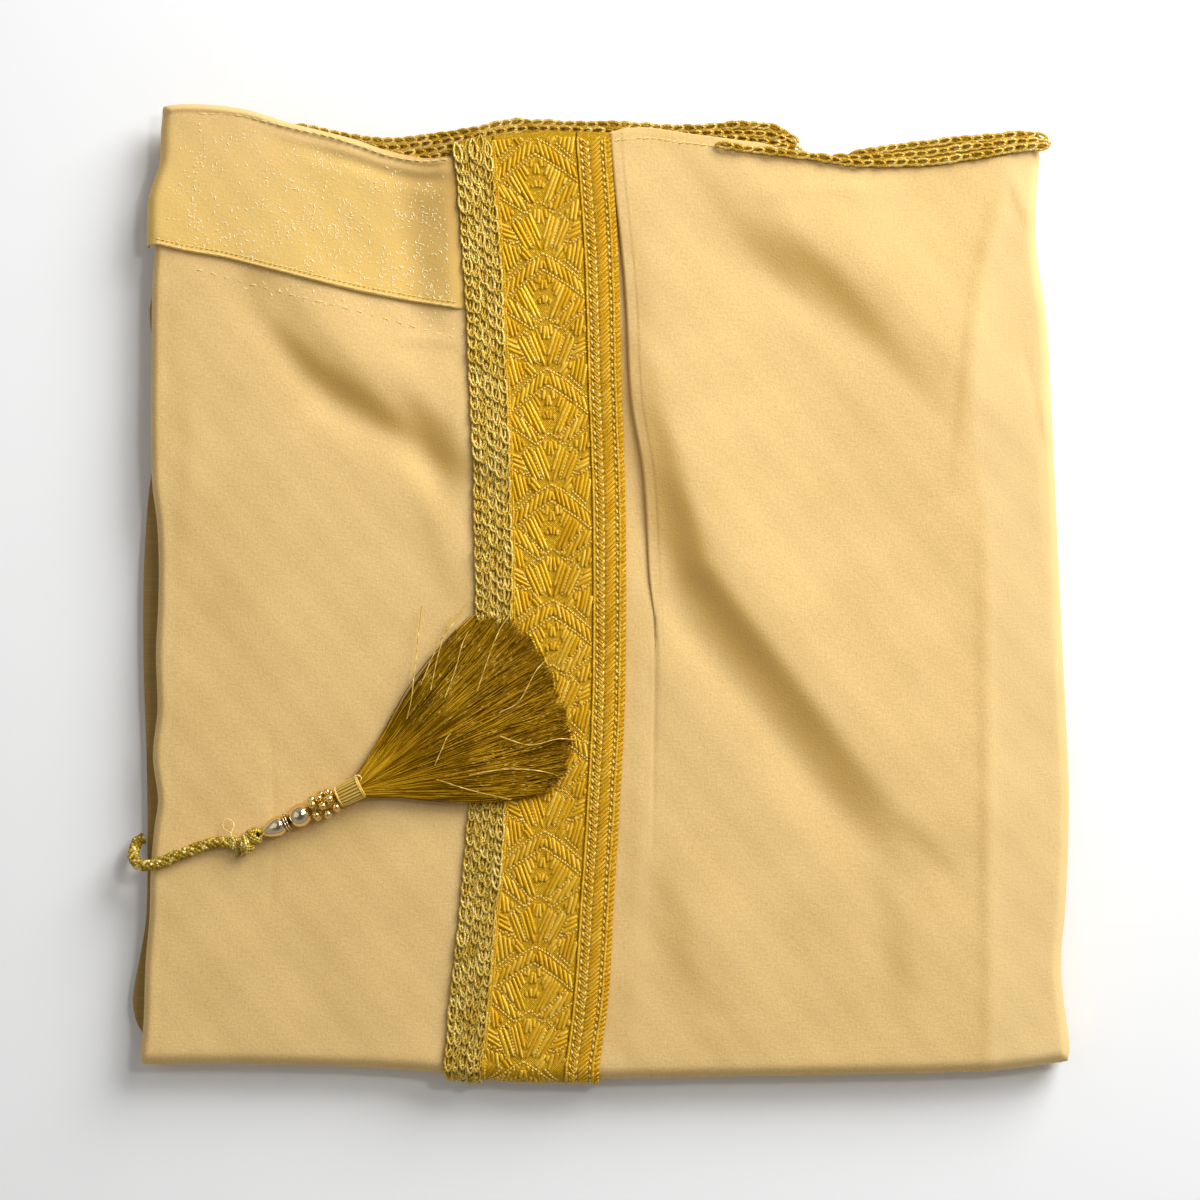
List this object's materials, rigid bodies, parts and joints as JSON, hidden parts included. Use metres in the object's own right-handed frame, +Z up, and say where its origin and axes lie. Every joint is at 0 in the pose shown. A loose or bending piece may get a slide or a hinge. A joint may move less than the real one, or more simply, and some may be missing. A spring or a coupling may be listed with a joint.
{
  "type": "folded bisht cloak",
  "caption": "Cloak folded into a flat, near-square packet, with a gold-embroidered front band, chain braid and a neck cord that ends in beads and a tassel.",
  "frame": {"origin": "middle of the packet's underside, on the surface it lies on, measured without the neck cord", "axes": "+Z up, out of the packet's upper face; +Y along the zari band toward the neck edge; +X toward the right front"},
  "size_m": [0.3613, 0.3755, 0.0276],
  "materials": {
    "plain_cloth": "soft matt crepe with a faint sheen",
    "inner_cloth": "the same crepe in shade",
    "facing_cloth": "crepe with metal thread showing through",
    "zari_gold": "bright metal-thread embroidery",
    "braid_gold": "pale metal-thread chain braid",
    "thread_gold": "glossy antique-gold thread",
    "bead_metal": "polished pale gold"
  },
  "bodies": {
    "root": {"folded_layers": "inner_cloth", "left_front": "plain_cloth", "neck_band_reverse": "facing_cloth", "right_front": "plain_cloth", "front_chain_braid": "braid_gold", "front_band": "zari_gold", "band_border": "zari_gold", "neck_braid": "braid_gold", "right_braid": "braid_gold", "cord": "thread_gold", "cord_knot": "thread_gold", "teardrop_bead": "bead_metal", "bead_rings": "bead_metal", "ball_bead": "bead_metal", "bead_cluster": "bead_metal", "tassel_cap": "bead_metal", "tassel": "thread_gold"}
  },
  "joints": []
}
